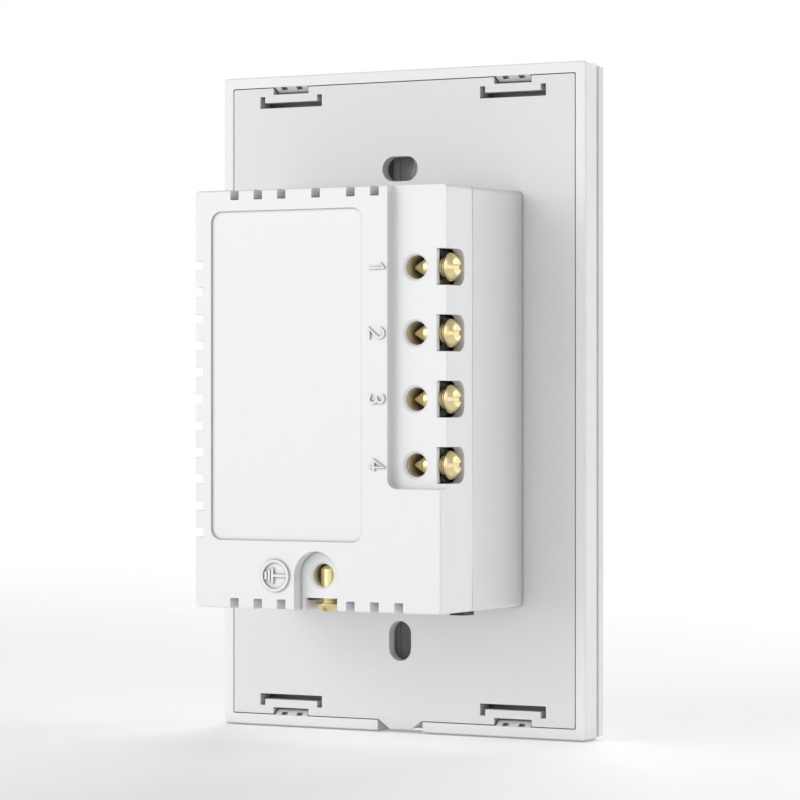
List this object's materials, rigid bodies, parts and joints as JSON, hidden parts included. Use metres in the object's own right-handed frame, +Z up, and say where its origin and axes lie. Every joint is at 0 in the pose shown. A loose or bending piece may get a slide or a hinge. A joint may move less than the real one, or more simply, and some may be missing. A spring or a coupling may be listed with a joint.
{
  "type": "smart light switch",
  "caption": "Smart wall light switch: push keys in a clip-on frame over a base plate, with a rear housing of relays, wireless board and brass screw terminals.",
  "frame": {"origin": "centre of the base plate's back face, on the wall plane, between the long and the short edges", "axes": "+Z up, +Y out of the back into the wall box, -Y towards the person at the keys, +X to the right of that person"},
  "size_m": [0.074, 0.0399, 0.12],
  "materials": {
    "housing_white": "fine matt moulding",
    "plate_white": "fine matt moulding, a shade greyer",
    "frame_white": "satin moulding",
    "key_white": "polished moulding",
    "latch_black": "matt moulding",
    "lid_grey": "matt moulding",
    "brass": "turned and milled",
    "screw_steel": "zinc plated",
    "shield_tin": "tinned sheet",
    "board_green": "solder-resist coated laminate",
    "module_blue": "solder-resist coated laminate",
    "relay_blue": "moulded case",
    "ferrite": "sintered, matt",
    "winding_tape": "taped winding",
    "film_yellow": "moulded case",
    "can_black": "shrink sleeve",
    "varistor_blue": "epoxy dipped",
    "fuse_glass": "clear tube",
    "coil_black": "wound bobbin",
    "connector_black": "moulded",
    "switch_metal": "stamped",
    "plunger_black": "moulded",
    "clear_plastic": "polished, translucent",
    "lamp_white": "moulded lamp"
  },
  "bodies": {
    "wall_unit": {"base_plate": "plate_white", "rear_cover": "housing_white", "cover_latch": "latch_black", "inner_cover": "lid_grey", "lid_screws": "screw_steel", "power_board": "board_green", "control_board": "board_green", "terminal_output_2": "brass", "terminal_output_1": "brass", "terminal_line": "brass", "terminal_neutral": "brass", "terminal_earth": "brass", "wireless_module": "module_blue", "module_shield": "shield_tin", "board_header": "connector_black", "board_socket": "connector_black", "rectifier": "connector_black", "relay_1": "relay_blue", "relay_2": "relay_blue", "transformer_core": "ferrite", "transformer_winding": "winding_tape", "filter_capacitor": "film_yellow", "storage_capacitor": "can_black", "choke": "coil_black", "varistor": "varistor_blue", "fuse": "fuse_glass", "tact_switch_left": "switch_metal", "tact_switch_right": "switch_metal", "light_guides": "clear_plastic", "indicator_lamps": "lamp_white"},
    "front_frame": {"front_frame": "frame_white"},
    "key_left": {"key_left": "key_white", "key_lens_left": "clear_plastic"},
    "key_right": {"key_right": "key_white", "key_lens_right": "clear_plastic"},
    "plunger_left": {"switch_plunger_left": "plunger_black"},
    "plunger_right": {"switch_plunger_right": "plunger_black"},
    "clamp_screw_output_2": {"screw_output_2": "brass"},
    "clamp_screw_output_1": {"screw_output_1": "brass"},
    "clamp_screw_line": {"screw_line": "brass"},
    "clamp_screw_neutral": {"screw_neutral": "brass"},
    "clamp_screw_earth": {"screw_earth": "brass"}
  },
  "joints": [
    {"name": "frame_pull_off", "type": "slide", "parent": "wall_unit", "child": "front_frame", "axis": [0, -1, 0], "range_m": [0, 0.014]},
    {"name": "key_left_press", "type": "hinge", "parent": "front_frame", "child": "key_left", "pos_m": [0, -0.0046, 0.052], "axis": [1, 0, 0], "range_deg": [0, 0.4], "stiffness_Nm_per_rad": 6, "springref_deg": -0.69},
    {"name": "plunger_left_travel", "type": "slide", "parent": "wall_unit", "child": "plunger_left", "axis": [0, 1, 0], "range_m": [0, 0.0005]},
    {"name": "key_right_press", "type": "hinge", "parent": "front_frame", "child": "key_right", "pos_m": [0, -0.0046, 0.052], "axis": [1, 0, 0], "range_deg": [0, 0.4], "stiffness_Nm_per_rad": 6, "springref_deg": -0.69},
    {"name": "plunger_right_travel", "type": "slide", "parent": "wall_unit", "child": "plunger_right", "axis": [0, 1, 0], "range_m": [0, 0.0005]},
    {"name": "screw_output_2_loosen", "type": "slide", "parent": "wall_unit", "child": "clamp_screw_output_2", "axis": [-1, 0, 0], "range_m": [0, 0.0036]},
    {"name": "screw_output_1_loosen", "type": "slide", "parent": "wall_unit", "child": "clamp_screw_output_1", "axis": [-1, 0, 0], "range_m": [0, 0.0036]},
    {"name": "screw_line_loosen", "type": "slide", "parent": "wall_unit", "child": "clamp_screw_line", "axis": [-1, 0, 0], "range_m": [0, 0.0036]},
    {"name": "screw_neutral_loosen", "type": "slide", "parent": "wall_unit", "child": "clamp_screw_neutral", "axis": [-1, 0, 0], "range_m": [0, 0.0036]},
    {"name": "screw_earth_loosen", "type": "slide", "parent": "wall_unit", "child": "clamp_screw_earth", "axis": [0, 0, -1], "range_m": [0, 0.0036]}
  ],
  "couplings": [
    {"joint": "plunger_left_travel", "follows": "key_left_press", "m_per_rad": 0.07},
    {"joint": "plunger_right_travel", "follows": "key_right_press", "m_per_rad": 0.07}
  ]
}
